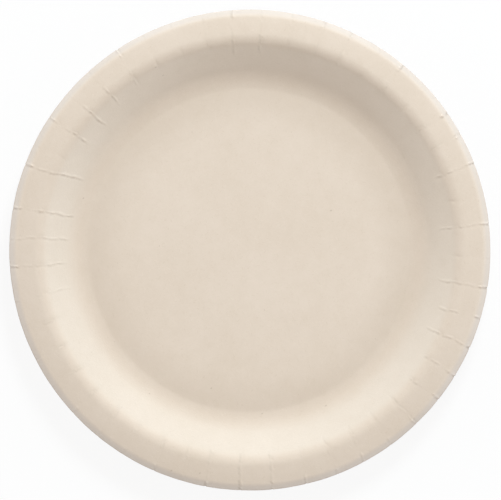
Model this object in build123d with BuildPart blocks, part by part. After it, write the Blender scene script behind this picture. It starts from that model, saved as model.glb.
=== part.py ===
from build123d import *
from math import degrees, radians, tan
import os

# A dinner plate pressed from one disc of plant-fibre board. All lengths are in millimetres.
# The origin is the middle of the underside, +Z is up, and the food goes on top.
# The section follows the food side from the floor out to the cut edge, as flats and arcs laid end
# to end, so the plate's height and its diameter over the rim are results of the sizes below.

# The board
sheet = 0.5  # thickness

# The floor and the bowl
floor_radius = 76.2  # a 6 inch floor, ringed by a crease
heel_angle = 14.0  # the gentle slope outside that crease
heel_slant = 5.1
foot_radius = 12.5  # the sweep up to the wall
wall_angle = 45.0
wall_slant = 14.0

# The rim
crest_radius = 5.3  # the roll over the top of the wall
flange_angle = 6.5  # the flange falls gently outward
flange_slant = 9.8
lip_angle = 37.0  # the lip is creased down all round
lip_slant = 3.9

# The folds, where the board left over from pressing a flat disc into a bowl is gathered
fold_count = 48
fold_height = 0.3  # above the food side, from the top of the wall outward
fold_width = 1.2  # across the ridge at the cut edge

# How the solids are shaped before they are fused and cut
root_share = 0.3  # a fold's roots lie this deep in the board, as a share of its thickness
base_share = 0.6  # and its base lies this deep
hub_share = 0.8  # the plain middle of the floor, as a share of the floor's radius
overrun = 2.0  # what runs on past the edge until it is cut

root_depth = root_share * sheet
base_depth = base_share * sheet
hub_radius = hub_share * floor_radius
pitch = 360 / fold_count
lip_crease = lip_angle - flange_angle


def meridian(angle):
    """The upright plane through the axis at this angle, with x outward and y up."""
    return Plane.XZ.rotated((0, 0, angle))


def bowl_line(level):
    """The floor, heel, foot and wall, as a line drawn this far above the food side."""
    gain = -level * tan(radians(heel_angle) / 2)
    floor = Line((hub_radius, sheet + level), (floor_radius + gain, sheet + level))
    heel = PolarLine(floor @ 1, heel_slant + gain, heel_angle)
    foot = JernArc(heel @ 1, heel % 1, foot_radius - level, wall_angle - heel_angle)
    return PolarLine(foot @ 1, wall_slant, wall_angle)


def rim_line(wall_top, level):
    """The crest, flange and lip, as a line drawn this far above the food side and past the cut."""
    gain = level * tan(radians(lip_crease) / 2)
    heading = Vector(1, 0).rotate(Axis.Z, wall_angle)
    crest = JernArc(wall_top, heading, crest_radius + level, -(wall_angle + flange_angle))
    flange = PolarLine(crest @ 1, flange_slant + gain, -flange_angle)
    return PolarLine(flange @ 1, lip_slant + gain + overrun, -lip_angle)


# The food side as drawn, to place the folds and the cut by.
with BuildLine() as food_side:
    wall = bowl_line(0)
    lip = rim_line(wall @ 1, 0)

wall_foot = wall @ 0
wall_top = wall @ 1
square_to_wall = Vector(0, 1).rotate(Axis.Z, wall_angle)
edge = lip @ 1 - lip % 1 * overrun
rim_radius = edge.X

# The ridge reaches below the surface on both sides, so it is drawn wider than it shows.
root_width = fold_width * (fold_height + root_depth) / fold_height
half_fold = degrees(root_width / 2 / rim_radius)

# One fold: a ridge with its crown in the middle plane and its roots, in the two planes beside it,
# under the surface. It rises out of the wall and keeps its full height from the wall's top outward.
with BuildPart() as fold:
    for angle, crown in ((-half_fold, -root_depth), (0, fold_height), (half_fold, -root_depth)):
        with BuildSketch(meridian(angle)):
            with BuildLine():
                upper = Line(wall_foot - square_to_wall * root_depth, wall_top + square_to_wall * crown)
                upper_lip = rim_line(upper @ 1, crown)
                lower = Line(
                    wall_foot - square_to_wall * base_depth, wall_top - square_to_wall * base_depth
                )
                lower_lip = rim_line(lower @ 1, -base_depth)
                Line(upper @ 0, lower @ 0)
                Line(upper_lip @ 1, lower_lip @ 1)
            make_face()
    loft(ruled=True)

# One sector of the plate: the section turned through one pitch, with its fold in the middle, and
# the edge cut square to the lip.
with BuildPart() as sector:
    with BuildSketch(meridian(-pitch / 2)):
        with BuildLine():
            top_wall = bowl_line(0)
            top_lip = rim_line(top_wall @ 1, 0)
            under_wall = bowl_line(-sheet)
            under_lip = rim_line(under_wall @ 1, -sheet)
            Line((hub_radius, sheet), (hub_radius, 0))
            Line(top_lip @ 1, under_lip @ 1)
        make_face()
    revolve(axis=Axis.Z, revolution_arc=pitch)
    add(fold.part)
    with BuildSketch(meridian(-pitch / 2)):
        with Locations(edge):
            Rectangle(2 * overrun, 2 * overrun, rotation=-lip_angle, align=(Align.MIN, Align.CENTER))
    revolve(axis=Axis.Z, revolution_arc=pitch, mode=Mode.SUBTRACT)

# The plate: the plain middle of the floor with the sectors round it.
with BuildPart() as plate:
    with BuildSketch():
        Circle(hub_radius)
    extrude(amount=sheet)
    with PolarLocations(0, fold_count):
        add(sector.part)

plate.part.label = "plate"
os.makedirs("parts", exist_ok=True)
export_step(plate.part, "parts/plate.step")

box = plate.part.bounding_box().size
print(f"plate: {box.X:.1f} x {box.Y:.1f} x {box.Z:.2f} mm, {fold_count} folds, {plate.part.volume:.0f} mm3")
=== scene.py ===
# %% [markdown]
# A pressed fibre-board plate
#
# A disposable dinner plate is stamped from one flat disc of plant-fibre board between two heated
# dies. The middle stays flat, the outside is drawn up into a wall, and the rim is rolled over and
# turned down so that it stays stiff in the hand. A flat disc has too much edge for a bowl, so the
# spare board is gathered into 48 small folds that run over the rim.
#
# The measured model of that plate is loaded first. It is the frame for everything below: the mesh
# that is made here stands exactly where it stands, and never reaches outside it.

import math

import bpy
import numpy as np
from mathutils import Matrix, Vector


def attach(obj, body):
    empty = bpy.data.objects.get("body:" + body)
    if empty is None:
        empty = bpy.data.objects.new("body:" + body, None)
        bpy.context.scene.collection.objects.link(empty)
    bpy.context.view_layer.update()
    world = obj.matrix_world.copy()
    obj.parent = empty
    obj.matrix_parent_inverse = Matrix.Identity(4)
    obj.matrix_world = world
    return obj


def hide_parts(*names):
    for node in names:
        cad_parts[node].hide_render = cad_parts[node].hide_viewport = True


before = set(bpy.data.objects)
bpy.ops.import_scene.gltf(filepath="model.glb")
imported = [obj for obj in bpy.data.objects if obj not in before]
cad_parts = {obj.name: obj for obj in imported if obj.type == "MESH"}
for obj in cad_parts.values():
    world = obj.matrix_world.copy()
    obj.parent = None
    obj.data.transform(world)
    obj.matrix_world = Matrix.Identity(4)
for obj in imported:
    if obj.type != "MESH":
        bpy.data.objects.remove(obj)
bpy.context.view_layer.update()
MM = 0.001  # Blender's unit here is the metre, and the plate is thought out in millimetres

# %% [markdown]
# The section
#
# Cut the plate through its axis and the cut face is a thin bent strip. The section is drawn as a
# pen that walks outward and turns its heading as it goes. Each step has a length and the heading
# at its end, and the turn is spread evenly over the step, which makes it a true arc. A curve object
# could be used instead, but with numbers the rows of the mesh can be set close together just where
# the board bends or folds. Two creases stand out on the real plate, round the floor and along the
# lip, and both are arcs that turn far in a short length.

# %% Walk the section from the floor to the cut edge
BOARD = 0.5  # thickness, mm
FLOOR_RADIUS = 76.15  # the flat floor, up to its crease, mm
FLOOR_ROWS = (14.0, 34.0, 52.0, 64.0, 71.0, 74.5, FLOOR_RADIUS)  # rows of the mesh, mm from the axis

# name, length in mm, heading at the end in degrees, rows of the mesh
SECTION = (
    ("crease", 1.4, 12.0, 2),
    ("heel", 1.2, 14.0, 2),
    ("foot", 8.4, 41.0, 8),
    ("wall", 14.9, 41.0, 16),
    ("crest", 5.7, -1.5, 9),
    ("flange", 7.75, -8.0, 11),
    ("bend", 1.6, -26.0, 6),
    ("lip", 2.53, -28.0, 5),
)

reach = [0.0, *FLOOR_ROWS]
height = [BOARD] * len(reach)
heading = [0.0] * len(reach)
starts = {}
for name, length, end, rows in SECTION:
    starts[name] = len(reach) - 1
    begin = heading[-1]
    for step in range(rows):
        middle = math.radians(begin + (end - begin) * (step + 0.5) / rows)
        reach.append(reach[-1] + length / rows * math.cos(middle))
        height.append(height[-1] + length / rows * math.sin(middle))
        heading.append(begin + (end - begin) * (step + 1) / rows)
reach, height, heading = np.array(reach), np.array(height), np.radians(heading)
run = np.concatenate([[0.0], np.cumsum(np.hypot(np.diff(reach), np.diff(height)))])
rim = reach[-1]
start_of = {name: run[row] for name, row in starts.items()}  # mm along the board
print(f"section: rim radius {rim:.2f}, crest {height.max():.2f}, edge {height[-1]:.2f} mm")
print("places along the board, mm:", {name: round(float(at), 1) for name, at in start_of.items()})

# %% [markdown]
# Where the folds run
#
# The dies are fluted 48 times round, so the folds are evenly spaced, but board does not obey exactly:
# each fold lies a little beside its place and runs a little aslant. One fold repeated by an array
# modifier would be quick and would look like a gear wheel. So every fold gets a line of its own. Most of
# the difference is chance, from a seeded generator, so the plate is the same plate each time, and the few
# folds that lie well out of place are moved one by one.

# %% Lay out 48 fold lines
FOLDS = 48
PITCH = 2 * math.pi / FOLDS
FIRST_FOLD = math.radians(5.1)
DRIFT = math.radians(1.2)  # the dies pull the folds together towards one side of the plate
DRIFT_TURN = math.radians(50)  # the phase of that pull
SCATTER = math.radians(0.2)
NUDGES = ((0, 0.8), (2, 0.5), (21, -3.6), (34, -1.2), (35, -0.9), (37, 0.6))  # fold, degrees
USUAL_SLANT = 0.5  # mm sideways, from the start of the wall to the edge

luck = np.random.default_rng(4807)
even = np.arange(FOLDS) * PITCH
fold_angle = even + FIRST_FOLD + DRIFT * np.cos(even + DRIFT_TURN)
fold_angle += luck.normal(0, SCATTER, FOLDS)
for fold, nudge in NUDGES:
    fold_angle[fold] += math.radians(nudge)
slant = luck.normal(0, USUAL_SLANT, FOLDS)
slant[21], slant[22] = 3.4, 0.9  # the widest gap between two folds made these lean
print("folds:", FOLDS, "one each", round(math.degrees(PITCH), 2), "degrees")

# %% [markdown]
# How strong each fold is
#
# In one place the board crushes into a sharp fold, and in another it slides nearly flat. Each fold first
# gets a middling strength by chance. The ones that stand out on the real plate, or hardly show there, are
# then set one by one, counted from the first fold. So is where they begin, how much of them the flat
# flange leaves, how strong they are on the lip, and how dark they look. A fold laps over to one side on
# one half of the plate and to the other side on the other half, apart from five folds that go against
# their half.

# %% Give each fold its strength
strength = luck.uniform(0.24, 0.44, FOLDS)  # as a share of the tallest ridge
strength[[1, 5, 7, 14, 15, 20, 47]] = 0.10  # these hardly show
strength[[12, 26, 27, 29, 30, 32, 34, 35, 36]] = 0.48
strength[[0, 2, 11, 16, 17, 23, 24, 28, 42, 43, 45, 46]] = 0.55  # these are plain to see
strength[[18, 19, 22, 44]] = 0.70
strength[21] = 0.82  # and this one shows most

kept_flat = luck.uniform(0.05, 0.25, FOLDS)  # the share that is left of it on the flange
kept_flat[[0, 2, 21, 23, 24, 41, 44, 46]] = 0.55
kept_flat[[35, 36]] = 0.9

at_edge = luck.uniform(0.05, 0.35, FOLDS)  # its strength on the lip
at_edge[[0, 8, 9, 12, 16, 19, 21, 22, 24, 35, 37, 39, 41, 42, 43, 45]] = 0.62
at_edge[[2, 3, 4, 6, 34, 44, 46]] = 1.0

# painted shade: how dark the crease and the hollow of each fold are painted, standing in for the shade
# that falls in them
crease_painted_shade = np.full(FOLDS, 0.5)
crease_painted_shade[[3, 4, 8, 9, 11, 12, 36, 41]] = 1.0
crease_painted_shade[35] = 1.3
hollow_painted_shade = np.full(FOLDS, 0.22)
hollow_painted_shade[[26, 27, 28, 29, 30, 32, 34, 42, 43]] = 0.45

# fold and mm up the wall, for the folds that begin well below its top
LOW_STARTS = (
    (0, 5), (2, 9), (11, 9), (12, 8), (16, 9), (17, 8), (18, 5), (19, 7),
    (21, -1), (22, -2), (23, -1), (24, 1), (25, 0), (44, 7), (45, 9), (46, 5),
)
LAP_TURN = math.radians(163)  # the middle of one half
lapped = np.where(np.cos(fold_angle - LAP_TURN) > 0, 1.0, -1.0)  # the side of the crease
lapped[[3, 8, 16, 27, 41]] *= -1
print("strengths from", strength.min().round(2), "to", strength.max().round(2))

# %% [markdown]
# The columns of the mesh
#
# A fold is hardly a millimetre wide, and the gap between two folds is fifteen. A mesh that is fine
# enough for the folds all the way round would be heavy and mostly wasted. Sculpting with dynamic
# topology would sort that out by hand. Here the columns do it: thirteen of them ride on each fold
# line, packed round its ridge, and six more are spread over the smooth board in between. A line
# wanders by a few tenths of a millimetre, in slow waves with random phases, and on the flat floor
# the columns run straight to the middle.

# %% Set the columns on and between the folds
BESIDE = (-2.1, -1.5, -1.05, -0.72, -0.45, -0.22, 0.0, 0.22, 0.45, 0.72, 1.05, 1.5, 2.1)
BETWEEN = 6
PER_FOLD = len(BESIDE) + BETWEEN
COLUMNS = FOLDS * PER_FOLD
NOT_BESIDE = 99.0  # mm, for a column that rides on no fold
WAVE_LENGTHS = (1.0, 1.7, 3.1)  # times the shortest
LONG_WANDER = (9.0, 0.26)  # shortest wave and size, mm
SHORT_WANDER = (3.4, 0.09)
USUAL_JUMP = 0.35  # mm, since the ridge on the lip seldom meets the one on the crest
JUMP_LENGTH = 4.0  # mm
STRAIGHT_UNTIL, BENT_FROM = FLOOR_RADIUS - 20.0, FLOOR_RADIUS + 8.0


def slow_waves(shortest, amount):
    """For each fold, a wavy value along the board, with waves no shorter than this many mm."""
    total = np.zeros((len(run), FOLDS))
    for times in WAVE_LENGTHS:
        phase = luck.uniform(0, 2 * math.pi, FOLDS)
        total += np.sin(2 * math.pi * run[:, None] / (shortest * times) + phase) / 2
    return amount * total


def smooth_step(value, low, high):
    """0 below low, 1 above high, and a soft rise between."""
    share = np.clip((value - low) / (high - low), 0, 1)
    return share * share * (3 - 2 * share)


sideways = slow_waves(*LONG_WANDER) + slow_waves(*SHORT_WANDER)  # mm, for each row and fold
sideways += slant * (smooth_step(run, start_of["wall"], run[-1])[:, None] - 0.5)
flange_middle = (start_of["flange"] + start_of["bend"]) / 2
past_middle = smooth_step(run, flange_middle - JUMP_LENGTH / 2, flange_middle + JUMP_LENGTH / 2)
sideways += luck.normal(0, USUAL_JUMP, FOLDS) * past_middle[:, None]

drawn_reach = np.maximum(reach, FLOOR_RADIUS)[:, None]
free = smooth_step(reach, STRAIGHT_UNTIL, BENT_FROM)[:, None]
line_angle = fold_angle + free * sideways / drawn_reach

angle = np.zeros((len(reach), COLUMNS))
beside = np.full(COLUMNS, NOT_BESIDE)  # mm from the fold line
owner = np.repeat(np.arange(FOLDS), PER_FOLD)  # the fold that the column belongs to
for fold in range(FOLDS):
    following = (fold + 1) % FOLDS
    full_turn = 2 * math.pi if following == 0 else 0.0
    first = fold * PER_FOLD
    for column, offset in enumerate(BESIDE, start=first):
        angle[:, column] = line_angle[:, fold] + offset / drawn_reach[:, 0]
        beside[column] = offset
    left = line_angle[:, fold] + BESIDE[-1] / drawn_reach[:, 0]
    right = line_angle[:, following] + full_turn + BESIDE[0] / drawn_reach[:, 0]
    for step in range(BETWEEN):
        share = (step + 1) / (BETWEEN + 1)
        angle[:, first + len(BESIDE) + step] = left + (right - left) * share
print("columns:", COLUMNS, "rows on the food side:", len(reach))

# %% [markdown]
# The shape of a fold
#
# Look along a fold with a lens: the board is pinched up into a low crooked ridge, and on one side,
# where it laps over itself, a narrow crease lies beside the ridge. It begins part of the way up the
# wall, is clearest where the wall rolls over, almost irons out in the middle of the flange, and
# shows again at the turned-down lip, where it ends in a small nick in the cut edge. So the height
# is a product: a profile across the fold times a strength along it. Both are bell curves and soft
# steps on the mesh's own rows and columns, which is exact, where a displacement texture would blur.

# %% Pinch up the ridges and press the creases
RIDGE, RIDGE_HALF_WIDTH = 0.34, 0.55  # the tallest ridge, mm
GROOVE, GROOVE_HALF_WIDTH, GROOVE_BESIDE = 0.16, 0.46, 0.95
HIGH_START = (-3.5, -0.5)  # mm from the wall's top, where most folds begin
FADE_IN = 3.0  # mm
IRONED_OUT = (-1.0, 3.0)  # mm from the start of the flange, where the fold is pressed flat
SHOWN_AGAIN = (-1.3, 0.7)  # mm from the start of the bend, where it comes back
BREAKS, BREAK_DEPTH = (1.9, 1.6), 0.45  # short waves that break a ridge, and how deep they cut
WIDTH_WAVES, WIDTH_CHANGE = (4.0, 1.0), 0.35  # longer ones that change its width, and how much


def bell(distance, half_width):
    """1 in the middle, and a soft fall to nothing on both sides."""
    return np.exp(-((distance / half_width) ** 2))


first_sign = start_of["crest"] + luck.uniform(*HIGH_START, FOLDS)
for fold, up_the_wall in LOW_STARTS:
    first_sign[fold] = start_of["wall"] + up_the_wall
far = run[:, None]
past_flange, past_bend = far - start_of["flange"], far - start_of["bend"]
comes = smooth_step(far, first_sign, first_sign + FADE_IN)
ironed = smooth_step(past_flange, *IRONED_OUT) * (1 - kept_flat)
returns = smooth_step(past_bend, *SHOWN_AGAIN) * at_edge
broken = 1 - BREAK_DEPTH + BREAK_DEPTH * np.clip(slow_waves(*BREAKS), -1, 1)
along = (np.clip(strength * comes * (1 - ironed) + returns, 0, 1) * broken)[:, owner]

uneven = 1 + WIDTH_CHANGE * np.clip(slow_waves(*WIDTH_WAVES), -1, 1)
ridge = bell(beside, RIDGE_HALF_WIDTH * uneven[:, owner])
groove = bell(beside - lapped[owner] * GROOVE_BESIDE, GROOVE_HALF_WIDTH)
pinch = along * (RIDGE * ridge - GROOVE * groove)
print("ridges up to", round(float(pinch.max()), 3), "mm, creases", round(float(pinch.min()), 3))

# %% [markdown]
# Knots, hollows and painted shade
#
# Two smaller signs make a fold look like crushed board and not like a drawn line. Somewhere past the
# crest most ridges have a knot, a lump about a millimetre across. And over the crest the board round a
# fold sinks into a hollow, three times as wide as the ridge. Light is lost in the creases, in the hollows
# and in the nicks at the edge, and that shade is painted into the colour: how dark each point should look
# goes on the mesh as an attribute, which the material mixes in later. A painted image would do the same,
# but it would need an unwrapped mesh, and an attribute is one number a point.

# %% Add knots and note the painted shade
KNOT_PLACE = (-1.0, 6.0)  # mm past the start of the crest
KNOT_SIDE = (-0.7, 0.7)  # mm beside the fold's line
KNOT_HEIGHT = (-0.05, 0.16)  # mm on a fold of full strength
KNOT_LENGTH, KNOT_WIDTH = 0.8, 0.5  # mm from its middle
HOLLOW_AT, HOLLOW_LENGTH, HOLLOW_WIDTH = 2.0, 2.8, 1.7  # mm past the crest's start, and to each side
NICK_BESIDE, NICK_SHADE_WIDTH, NICK_SHADE_FROM, NICK_SHADE_TO = 0.5, 0.6, 2.2, 0.5  # mm
NICK_PAINTED_SHADE = 0.7

knot_place = start_of["crest"] + luck.uniform(*KNOT_PLACE, FOLDS)
knot_side = luck.uniform(*KNOT_SIDE, FOLDS)
knot_height = strength * luck.uniform(*KNOT_HEIGHT, FOLDS)
knot_height[[16, 45]] = 0.12  # these two show most
knots = bell(far - knot_place[owner], KNOT_LENGTH) * bell(beside - knot_side[owner], KNOT_WIDTH)
pinch += knot_height[owner] * knots

over_crest = bell(far - start_of["crest"] - HOLLOW_AT, HOLLOW_LENGTH)
# painted shade: the hollow over the crest, the creases and the nicks at the edge darken the colour,
# standing in for the shade in them
hollow = strength[owner] * over_crest * bell(beside, HOLLOW_WIDTH)
by_the_edge = smooth_step(far, run[-1] - NICK_SHADE_FROM, run[-1] - NICK_SHADE_TO)
nick_side = beside - NICK_BESIDE * lapped[owner]
nick_painted_shade = by_the_edge * at_edge[owner] ** 2 * bell(nick_side, NICK_SHADE_WIDTH)
painted_shade = crease_painted_shade[owner] * along * groove + hollow_painted_shade[owner] * hollow
painted_shade = np.clip(painted_shade + NICK_PAINTED_SHADE * nick_painted_shade, 0, 1)
print("darkest crease:", round(float(painted_shade.max()), 2))

# %% [markdown]
# Waves in the board
#
# Between two folds the free rim swells a little, and the whole rim is never quite true, from where
# the board comes off the wall's die outward. Without this the flange would gleam like turned metal.
# A displacement texture could do it, but the swell has to know where the folds are, so it is worked
# out on the same columns.

# %% Swell the rim between the folds
SWELL = (0.02, 0.07)  # mm, the least and the most
CREST_SWELL = 3.0  # times as much over the crest
LOOSE_FROM, LOOSE_AFTER = 6.0, 3.0  # mm past the starts of the wall and the crest
ROUND_WAVES = ((2, 0.025), (3, 0.025), (5, 0.015), (9, 0.015), (14, 0.01))  # times round, mm
FINE_WAVES = ((37, 7.0), (61, 11.0), (83, 5.0), (118, 8.0))  # times round, mm along the board
FINE_SIZE = 0.008  # mm

place_in_pitch = np.arange(COLUMNS) % PER_FOLD - (len(BESIDE) - 1) / 2
near_fold = (1 + np.cos(2 * math.pi * place_in_pitch / PER_FOLD)) / 2
swell_size = luck.uniform(*SWELL, FOLDS)[owner]
loose = smooth_step(far, start_of["wall"] + LOOSE_FROM, start_of["crest"] + LOOSE_AFTER)
swell = -swell_size * (loose * near_fold + CREST_SWELL * over_crest * near_fold**3)

round_waves = np.zeros_like(angle)
for times, size in ROUND_WAVES:
    round_waves += size * (np.sin(times * angle + luck.uniform(0, 2 * math.pi)) - 1)
fine_waves = np.zeros_like(angle)
for times, period in FINE_WAVES:
    turn, shift = luck.uniform(0, 2 * math.pi, 2)
    fine_waves += np.sin(times * angle + turn) * np.sin(2 * math.pi * far / period + shift)
waves = swell + loose * (round_waves + FINE_SIZE * fine_waves)
relief = pinch + waves
print(f"waves: {waves.min():.3f} mm at the lowest")

# %% [markdown]
# The cut edge
#
# The disc is cut before it is pressed, so its edge is drawn in unevenly: it nicks inward at each
# fold and wobbles by about a tenth of a millimetre between them. The underside follows the food side
# one board thickness below, but the dies leave only a trace of each ridge there. A solidify modifier
# would give the thickness too, but not a different relief on each side.

# %% Turn the section into two skins
EDGE_PULL = 1.2  # how far in from the edge the cut's unevenness reaches, mm
NICK_DEPTH = (0.15, 0.50)  # mm at a fold of full strength
NICK_WIDTH = 0.4  # mm to each side
WOBBLE = 0.05  # mm
WOBBLES = ((0.035, 7, 0), (0.03, 23, 1), (0.02, 71, 0))  # mm, times round, phase
UNDER_RIDGE, UNDER_GROOVE = 0.10, 0.05  # mm, what shows of a fold on the underside
FLAT_ROWS = len(FLOOR_ROWS) + 1  # the middle and the rows of the floor

nick = (luck.uniform(*NICK_DEPTH, FOLDS) * at_edge)[owner] * bell(nick_side, NICK_WIDTH)
wobble = WOBBLE + sum(size * np.sin(times * angle[-1] + phase) for size, times, phase in WOBBLES)
near_edge = smooth_step(run, run[-1] - EDGE_PULL, run[-1])[:, None]
drawn_in = near_edge * (nick + np.clip(wobble, 0, None))
out_along, up_along = np.cos(heading)[:, None], np.sin(heading)[:, None]


def skin(depth, relief_here):
    """Points of a skin this far under the food side, as distance from the axis and height."""
    lift = relief_here - depth
    distance = reach[:, None] - lift * up_along - drawn_in * out_along
    level = height[:, None] + lift * out_along - drawn_in * up_along
    distance[:FLAT_ROWS], level[:FLAT_ROWS] = reach[:FLAT_ROWS, None], BOARD - depth  # quite flat
    return distance, level


food_reach, food_height = skin(0.0, relief)
under_relief = waves + along * (UNDER_RIDGE * ridge + UNDER_GROOVE * groove)
under_reach, under_height = skin(BOARD, under_relief)
print(f"food side up to {food_height.max():.2f} mm, rim out to {food_reach.max():.2f} mm")

# %% [markdown]
# The points
#
# The plate is one closed skin: out over the food side, round the cut edge and back along the
# underside, which needs only every second row. The edge is a square cut with softly crushed
# corners, and rows that lie very close together keep those corners crisp under smooth shading,
# which does the work of a bevel modifier. Spinning a profile would be quicker to type, but it would
# put the same section at every angle, and then there would be no folds.

# %% Set out the points
EDGE_SHARES = (0.06, 0.5, 0.94)  # rows on the cut edge, from the food side to the underside
EDGE_BULGE = 0.02  # mm
# painted crease shade is this much as strong on the underside
UNDER_SHADE = 0.6  # a crease looks this much as dark from below
LAST_ROW = len(reach) - 1
UNDER_ROWS = [row for row in range(1, LAST_ROW) if row < FLAT_ROWS or row % 2 == 0] + [LAST_ROW]


def ring(distance, level, turn):
    """One row of points round the plate, in metres."""
    return np.column_stack([distance * np.cos(turn), distance * np.sin(turn), level]) * MM


rings, shade_rows = [], []
for row in range(1, len(reach)):
    rings.append(ring(food_reach[row], food_height[row], angle[row]))
    shade_rows.append(painted_shade[row])
for share in EDGE_SHARES:
    bulge = EDGE_BULGE * math.sin(math.pi * share)
    edge_reach = food_reach[-1] + (under_reach[-1] - food_reach[-1]) * share + bulge
    edge_height = food_height[-1] + (under_height[-1] - food_height[-1]) * share
    rings.append(ring(edge_reach, edge_height, angle[-1]))
    shade_rows.append(painted_shade[-1])
for row in reversed(UNDER_ROWS):
    rings.append(ring(under_reach[row], under_height[row], angle[row]))
    shade_rows.append(UNDER_SHADE * painted_shade[row])
points = np.vstack([*rings, [[0, 0, BOARD * MM], [0, 0, 0]]])
shades = np.concatenate([*shade_rows, [0, 0]])
print("points:", len(points), "in", len(rings), "rings and two middles")

# %% [markdown]
# The mesh
#
# The points form a grid of rows and columns, so the faces can be written down with index arithmetic: each
# one joins two neighbours on a ring with the same two on the next. The two middles are closed by fans.
# Adding faces one at a time with the bmesh module would give the same mesh, but with whole rows at once
# it takes no time. The painted shade of the creases, hollows and nicks goes on the mesh's points, and the
# plate takes the measured plate's place on the same body.

# %% Stitch them into one closed mesh
food_middle, under_middle = len(points) - 2, len(points) - 1
here = np.arange(COLUMNS)
beyond = np.roll(here, -1)
faces = []
for row in range(len(rings) - 1):
    inner, outer = row * COLUMNS, (row + 1) * COLUMNS
    corners = [inner + here, outer + here, outer + beyond, inner + beyond]
    faces += np.column_stack(corners).tolist()
last = (len(rings) - 1) * COLUMNS
faces += np.column_stack([np.full(COLUMNS, food_middle), here, beyond]).tolist()
faces += np.column_stack([np.full(COLUMNS, under_middle), last + beyond, last + here]).tolist()

mesh = bpy.data.meshes.new("pressed_plate")
mesh.from_pydata(points.tolist(), [], faces)
mesh.polygons.foreach_set("use_smooth", [True] * len(mesh.polygons))
# painted shade of the creases, hollows and nicks, one number a point
painted_shade_layer = mesh.attributes.new("painted_shade", "FLOAT", "POINT")
painted_shade_layer.data.foreach_set("value", shades.astype(np.float32))
mesh.validate()
mesh.update()
pressed_plate = bpy.data.objects.new("pressed_plate", mesh)
bpy.context.scene.collection.objects.link(pressed_plate)
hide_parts("plate")
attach(pressed_plate, "root")
print("pressed plate:", sum(len(face) - 2 for face in faces), "triangles")

# %% [markdown]
# Writing shader sums
#
# A Blender material is a graph of nodes, and a graph is slow to read in a script. So one small
# class wraps a socket and lets Python's own arithmetic make the Math nodes: `1 - mask` adds a
# Subtract node. Any other node comes from one method, which sets the node up first and then fills
# in its sockets. Colours go through Mix nodes, because a Math node would turn them grey.


# %% A socket that can be used in sums
class Field:
    """A value that varies over the surface: one output socket in a node tree."""

    def __init__(self, tree, socket=None):
        self.tree = tree
        self.socket = socket

    def node(self, kind, settings=None, values=None, out=0):
        """Adds a node: its settings, then its sockets' values or links. An end node has out=None."""
        made = self.tree.nodes.new(kind)
        for name, setting in (settings or {}).items():
            setattr(made, name, setting)
        for name, value in (values or {}).items():
            if isinstance(value, Field):
                self.tree.links.new(value.socket, made.inputs[name])
            else:
                made.inputs[name].default_value = value
        return Field(self.tree, None if out is None else made.outputs[out])

    def maths(self, operation, first, second):
        """A Math node on two values, each of them a field or a plain number."""
        return self.node("ShaderNodeMath", {"operation": operation}, {0: first, 1: second})

    def __add__(self, other):
        return self.maths("ADD", self, other)

    def __radd__(self, other):
        return self.maths("ADD", other, self)

    def __sub__(self, other):
        return self.maths("SUBTRACT", self, other)

    def __rsub__(self, other):
        return self.maths("SUBTRACT", other, self)

    def __mul__(self, other):
        return self.maths("MULTIPLY", self, other)

    def __rmul__(self, other):
        return self.maths("MULTIPLY", other, self)

    def rise(self, low, high):
        """0 where this field is below low, 1 above high, with a soft rise between."""
        soft = {"interpolation_type": "SMOOTHSTEP"}
        ends = {"Value": self, "From Min": low, "From Max": high}
        return self.node("ShaderNodeMapRange", soft, ends)

    def blend(self, first, second):
        """The first colour where this field is 0 and the second where it is 1."""
        return self.node("ShaderNodeMix", {"data_type": "RGBA"}, {0: self, 6: first, 7: second}, 2)


def new_finish(name):
    """An empty material, and a field to build its nodes from."""
    material = bpy.data.materials.new(name)
    material.use_nodes = True
    material.node_tree.nodes.clear()
    return material, Field(material.node_tree)


print("shader helper ready")

# %% [markdown]
# The fibre board
#
# The board is felted from pulp: straw, cane or leaf fibre that settled at random on a screen and
# was pressed hot, with nothing printed or varnished on it. From a step away it is one warm beige,
# faintly clouded. Closer to, there are short fibres lighter and darker than the ground, a few brown
# flecks of bark or shive, and a fine pitting. An image texture of board would repeat and show its
# seams. Noise in the object's own coordinates does neither, so each of those is one noise, set at
# its real size. A fibre is noise that is stretched along one direction, of which only the highest
# peaks are kept.

# %% Cloud the board and scatter fibres in it
FIBRE_DETAIL, FIBRE_ROUGHNESS = 1.0, 0.4
# direction in degrees, length and width in mm, and the noise between which a fibre appears
PALE_FIBRES = ((20, 3.0, 0.5, 0.63, 0.72), (78, 2.6, 0.5, 0.64, 0.73), (140, 3.2, 0.5, 0.64, 0.73))
DARK_FIBRES = ((52, 2.4, 0.45, 0.68, 0.76), (112, 2.8, 0.45, 0.68, 0.76), (169, 2.2, 0.45, 0.68, 0.76))

fibre_board, board = new_finish("fibre_board")
place = board.node("ShaderNodeTexCoord", out="Object")  # in metres


def stretched(where, turn, longer):
    """Coordinates in which a round dot becomes this many times longer in this direction."""
    values = {"Vector": where, "Rotation": (0, 0, math.radians(turn)), "Scale": (longer, 1, 1)}
    return board.node("ShaderNodeMapping", {"vector_type": "TEXTURE"}, values)


def grain(size, detail=2.0, roughness=0.5, where=place):
    """Noise whose features are about this many mm across, from 0 to 1 around a half."""
    values = {"Vector": where, "Scale": 1 / (size * MM), "Detail": detail, "Roughness": roughness}
    return board.node("ShaderNodeTexNoise", {"noise_dimensions": "3D"}, values)


def fibres(turn, length, width, low, high):
    """Short fibres that lie along one direction, as a mask."""
    lying = stretched(place, turn, length / width)
    return grain(width, FIBRE_DETAIL, FIBRE_ROUGHNESS, lying).rise(low, high)


def scattered(kinds):
    """All kinds of fibre in this list, as one mask."""
    first, *others = (fibres(*kind) for kind in kinds)
    return sum(others, first)


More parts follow.
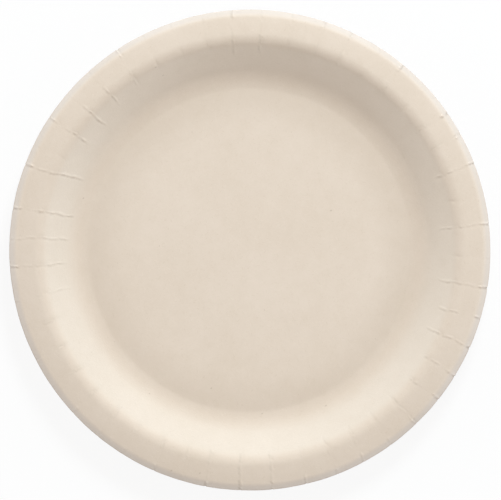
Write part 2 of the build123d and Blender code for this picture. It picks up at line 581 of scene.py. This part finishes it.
clouds = grain(42, detail=3.0) - 0.5
mottle = grain(7.0, detail=4.0, roughness=0.6) - 0.5
tooth = grain(1.1, detail=3.0, roughness=0.65) - 0.5
pale_fibres = scattered(PALE_FIBRES)
dark_fibres = scattered(DARK_FIBRES)
print("board: clouds, mottle, tooth and", len(PALE_FIBRES) + len(DARK_FIBRES), "kinds of fibre")

# %% [markdown]
# Flecks
#
# The brown flecks are rarer and shorter than the fibres: slivers of husk, about twice as long as
# wide. A Voronoi texture drops one point in each cell, and its colour output is random per cell, so
# a threshold on the distance makes dots and a threshold on the colour keeps only a few of them.
# Stretched coordinates draw the dots out into slivers, and a little noise added to the coordinates
# roughens their outline.

# %% Drop brown flecks
RUFFLE = 1.0  # mm, the size of the noise that roughens a fleck
SLENDER = 1.9  # how many times longer than wide
SOLID, GONE = 0.3, 0.6  # shares of a fleck's size from its middle, where it starts to fade and ends
SWITCH = 0.01  # a rise this short is a yes or a no


def flecks(turn, cell, size, kept):
    """Slivers of about this size in mm that lie along one direction, in this share of the cells."""
    ruffle = board.node("ShaderNodeTexNoise", {}, {"Vector": place, "Scale": 1 / (RUFFLE * MM)}, "Color")
    sway = {0: ruffle, 1: (RUFFLE / 2 * MM,) * 3, 2: place}
    ruffled = board.node("ShaderNodeVectorMath", {"operation": "MULTIPLY_ADD"}, sway)
    cells = {"Vector": stretched(ruffled, turn, SLENDER), "Scale": 1 / (cell * MM)}
    distance = board.node("ShaderNodeTexVoronoi", {"feature": "F1"}, cells, "Distance")
    draw = board.node("ShaderNodeTexVoronoi", {"feature": "F1"}, cells, "Color")
    lot = board.node("ShaderNodeSeparateColor", {}, {0: draw}, "Red")
    sliver = 1 - distance.rise(size / cell * SOLID, size / cell * GONE)
    return sliver * (1 - lot.rise(kept, kept + SWITCH))


brown_flecks = flecks(35, 7.0, 0.75, 0.28) + 0.7 * flecks(110, 4.0, 0.42, 0.20)
print("flecks: two sizes")

# %% [markdown]
# Tints, painted shade and painted light round the axis
#
# The colour changes a little with the distance from the axis. A soft darker ring over the floor's edge,
# the heel and the foot is painted shade, where the wall rises from the floor. The lip turns a cool grey,
# which is painted light: the cool light that the white table throws up on it. Besides that, the floor is
# a trace browner, the wall a little paler and greyer, and the rim a little darker and browner. These
# tints depend only on the distance from the axis, so they are soft rises and falls of that one number.
# Vertex colours could hold them as well, but then they would be tied to the rows of the mesh.

# %% Work out the tints, the painted shade and the painted light by the distance from the axis
flat_place = place.node("ShaderNodeVectorMath", {"operation": "MULTIPLY"}, {0: place, 1: (1, 1, 0)})
from_axis = place.node("ShaderNodeVectorMath", {"operation": "LENGTH"}, {0: flat_place}, "Value")
rim_share = from_axis * (1 / (rim * MM))  # 0 in the middle, 1 at the rim


def band(rise_from, rise_to, fall_from, fall_to):
    """A ring round the axis that fades in and out at these shares of the rim's radius."""
    return rim_share.rise(rise_from, rise_to) * (1 - rim_share.rise(fall_from, fall_to))


# the floor a trace browner
browner_floor = 1 - rim_share.rise(0.64, 0.70)
# painted shade: a soft darker ring from the floor's edge over the heel and foot, where the wall rises
# from the floor
painted_heel_shade = band(0.49, 0.690, 0.690, 0.79)
# the wall a little paler and greyer
paler_wall = band(0.70, 0.77, 0.84, 0.88)
# the rim a little darker and browner
darker_rim = band(0.835, 0.875, 0.960, 0.980)
# painted light: the lip turns a cool grey, standing in for the cool light that the white table throws up
# on it
painted_lip_light = rim_share.rise(0.966, 0.990)
print("tints: floor, heel, wall, rim and lip")

# %% [markdown]
# Colour, roughness and relief
#
# The masks now colour the board. Every step is a mix from the colour so far towards another one, which is
# how layers of glaze work too. The painted shade that was stored on the mesh, for the creases, the
# hollows and the nicks, comes last, over all the rest. The board has no shine of its own: high roughness,
# and a bump that is only hundredths of a millimetre deep.

# %% Colour the board
WARM = (0.729, 0.613, 0.498, 1)  # all colours are linear
PALE = (0.840, 0.728, 0.624, 1)
STRAW = (0.560, 0.430, 0.290, 1)
BARK = (0.330, 0.235, 0.150, 1)
SHADE = (0.450, 0.385, 0.310, 1)
BROWN_AND_PAINTED_SHADE = (0.590, 0.484, 0.385, 1)
LINEN = (0.705, 0.720, 0.680, 1)
PAINTED_COOL_LIGHT = (0.605, 0.615, 0.650, 1)
BUMP_DEPTH = 0.06  # mm

cloudy = 0.5 + 0.8 * clouds + 0.6 * mottle + 0.4 * tooth
crease = board.node("ShaderNodeAttribute", {"attribute_name": "painted_shade"}, out="Fac")
colour = cloudy.rise(-0.3, 1.3).blend(WARM, PALE)
colour = (0.25 * pale_fibres).blend(colour, PALE)
colour = (0.18 * dark_fibres).blend(colour, STRAW)
colour = (0.36 * brown_flecks).blend(colour, BARK)
colour = (0.20 * paler_wall).blend(colour, LINEN)
# painted shade round the heel, and plain darker tints on the floor and the rim, all towards one brown
colour = (0.05 * browner_floor + 0.32 * painted_heel_shade + 0.21 * darker_rim).blend(colour, BROWN_AND_PAINTED_SHADE)
# painted light: the cool grey of the lip
colour = (0.27 * painted_lip_light).blend(colour, PAINTED_COOL_LIGHT)
# painted shade from the mesh's attribute: creases, hollows and nicks darkened over all the rest
colour = (0.48 * crease).blend(colour, SHADE)

roughness = 0.72 + 0.10 * tooth - 0.05 * pale_fibres
pitting = 0.32 * tooth + 0.16 * pale_fibres + 0.10 * dark_fibres + 0.5 * mottle
bump = board.node("ShaderNodeBump", {}, {"Height": pitting, "Distance": BUMP_DEPTH * MM, "Strength": 1.0})
looks = {"Base Color": colour, "Roughness": roughness, "Normal": bump}
matt_board = {"IOR": 1.45, "Specular IOR Level": 0.5}
surface = board.node("ShaderNodeBsdfPrincipled", {}, {**looks, **matt_board})
board.node("ShaderNodeOutputMaterial", {}, {"Surface": surface}, out=None)
mesh.materials.append(fibre_board)
print("fibre board:", len(fibre_board.node_tree.nodes), "nodes")

# %% [markdown]
# The table
#
# The plate is shown on plain white. The floor is a large pale sheet just under it, and nine tenths
# of what is seen of it is plain white, so the plate's shadow stays but is faint. Seen means by the
# camera, in a mirror or through glass, which the Light Path node can tell apart. The light that the
# floor throws back on the plate is that of a matt sheet, so a whiter background takes no colour out
# of the plate, as a brighter lamp would.

# %% Lay a pale floor
FLOOR_HALF = 6.0  # m
FLOOR_DROP = 0.02  # mm under the plate, so that the two don't flicker
FLOOR_COLOUR = (0.93, 0.93, 0.93, 1)
WHITE = (1, 1, 1, 1)
WHITENESS = 0.9


def looked_at(tree):
    """1 where a camera, mirror or glass ray meets it, and 0 where light does."""
    kinds = ("Is Camera Ray", "Is Glossy Ray", "Is Transmission Ray")
    straight, mirrored, through = (tree.node("ShaderNodeLightPath", out=kind) for kind in kinds)
    return (straight + mirrored + through).rise(0.4, 0.6)


floor_mesh = bpy.data.meshes.new("pale_floor")
corners = [(x * FLOOR_HALF, y * FLOOR_HALF, 0) for x, y in ((-1, -1), (1, -1), (1, 1), (-1, 1))]
floor_mesh.from_pydata(corners, [], [(0, 1, 2, 3)])
pale_floor = bpy.data.objects.new("pale_floor", floor_mesh)
pale_floor.location.z = -FLOOR_DROP * MM
bpy.context.scene.collection.objects.link(pale_floor)

floor_finish, floor = new_finish("pale_floor")
matt = floor.node("ShaderNodeBsdfDiffuse", {}, {"Color": FLOOR_COLOUR})
white = floor.node("ShaderNodeEmission", {}, {"Color": WHITE, "Strength": 1.0})
whitened = floor.node("ShaderNodeMixShader", {}, {0: WHITENESS * looked_at(floor), 1: matt, 2: white})
floor.node("ShaderNodeOutputMaterial", {}, {"Surface": whitened}, out=None)
floor_mesh.materials.append(floor_finish)
print("floor laid,", 2 * FLOOR_HALF, "m wide")

# %% [markdown]
# The lamp
#
# One soft lamp stands low at the upper edge of the picture, a little to the right. It is what draws
# the rim: the wall under it falls into shade, the wall across from it lights up, and each fold gets
# a bright and a dark side. A disk gives shadows with soft edges, as a lamp behind cloth does, where
# a sun lamp would cut them hard. Its light is a little blue, and what it leaves is lit warm.

# %% Hang the lamp
LAMP_AZIMUTH = math.radians(73)
LAMP_HEIGHT = math.radians(43)
LAMP_AWAY, LAMP_WIDTH = 1.8, 0.6  # m
LAMP_LIGHT = 0.70  # how much of a surface's light comes from the lamp when it faces it
LAMP_COLOUR = (0.93, 1.03, 1.08)

outward = math.cos(LAMP_HEIGHT)
across, upright = outward * math.cos(LAMP_AZIMUTH), outward * math.sin(LAMP_AZIMUTH)
towards_lamp = Vector((across, upright, math.sin(LAMP_HEIGHT)))
lamp_data = bpy.data.lights.new("soft_lamp", "AREA")
lamp_data.shape = "DISK"
lamp_data.size = LAMP_WIDTH
lamp_data.color = LAMP_COLOUR
lamp_data.energy = LAMP_LIGHT * math.pi**2 * LAMP_AWAY**2
lamp = bpy.data.objects.new("soft_lamp", lamp_data)
lamp.location = towards_lamp * LAMP_AWAY
lamp.rotation_mode = "QUATERNION"
lamp.rotation_quaternion = towards_lamp.to_track_quat("Z", "Y")
bpy.context.scene.collection.objects.link(lamp)
print("lamp:", round(lamp_data.energy, 2), "W")

# %% [markdown]
# The tent
#
# The rest of the light is even and comes from all round, as in a tent of white cloth, but more of
# it from the sides than from overhead. That is the world's background, with its strength a soft
# step of the direction's height. Lamp and tent together give a flat surface about 1, and then a
# colour is seen about as it was written. What is seen of the tent itself is plain white.

# %% Raise the tent
TENT_LOW, TENT_HIGH = 0.95, 0.33  # the light near the horizon and overhead
TENT_COLOUR = (1.04, 0.995, 0.96, 1)
LOW_UNTIL, HIGH_FROM = 0.30, 0.80  # the upward part of the direction

tent = bpy.data.worlds.new("white_tent")
tent.use_nodes = True
tent.node_tree.nodes.clear()
bpy.context.scene.world = tent
sky = Field(tent.node_tree)
direction = sky.node("ShaderNodeTexCoord", out="Generated")
upward = sky.node("ShaderNodeSeparateXYZ", {}, {0: direction}, "Z")
glow = TENT_LOW + (TENT_HIGH - TENT_LOW) * upward.rise(LOW_UNTIL, HIGH_FROM)
cloth = sky.node("ShaderNodeBackground", {}, {"Color": TENT_COLOUR, "Strength": glow})
backdrop = sky.node("ShaderNodeBackground", {}, {"Color": WHITE, "Strength": 1.0})
all_round = sky.node("ShaderNodeMixShader", {}, {0: looked_at(sky), 1: cloth, 2: backdrop})
sky.node("ShaderNodeOutputWorld", {}, {"Surface": all_round}, out=None)
print("tent: from", TENT_LOW, "near the horizon to", TENT_HIGH, "overhead")

# %% [markdown]
# The camera
#
# The picture is taken from straight above with a long lens from far off, so that the wall is seen
# evenly all round. The picture's frame is 501 pixels wide and the rim fills it nearly from side to
# side, so the lens follows from the rim's radius in pixels.

# %% Set up the camera
PICTURE_WIDTH, PICTURE_HEIGHT = 501, 500
RIM_PIXELS = 240.7
RIM_CENTRE = (249.85, 250.05)
CAMERA_AWAY = 4.0  # m above the cut edge
SENSOR = 36.0  # mm
FAR_CLIP = 50.0  # m

metres_a_pixel = rim * MM / RIM_PIXELS
camera_data = bpy.data.cameras.new("camera")
camera_data.sensor_width = SENSOR
camera_data.lens = SENSOR * CAMERA_AWAY / (PICTURE_WIDTH * metres_a_pixel)
camera_data.clip_end = FAR_CLIP
camera = bpy.data.objects.new("camera", camera_data)
right_shift = (PICTURE_WIDTH / 2 - RIM_CENTRE[0]) * metres_a_pixel
up_shift = (RIM_CENTRE[1] - PICTURE_HEIGHT / 2) * metres_a_pixel
camera.location = (right_shift, up_shift, CAMERA_AWAY + height[-1] * MM)
bpy.context.scene.collection.objects.link(camera)
bpy.context.scene.camera = camera
bpy.context.scene.view_settings.view_transform = "Standard"
print("lens:", round(camera_data.lens), "mm")
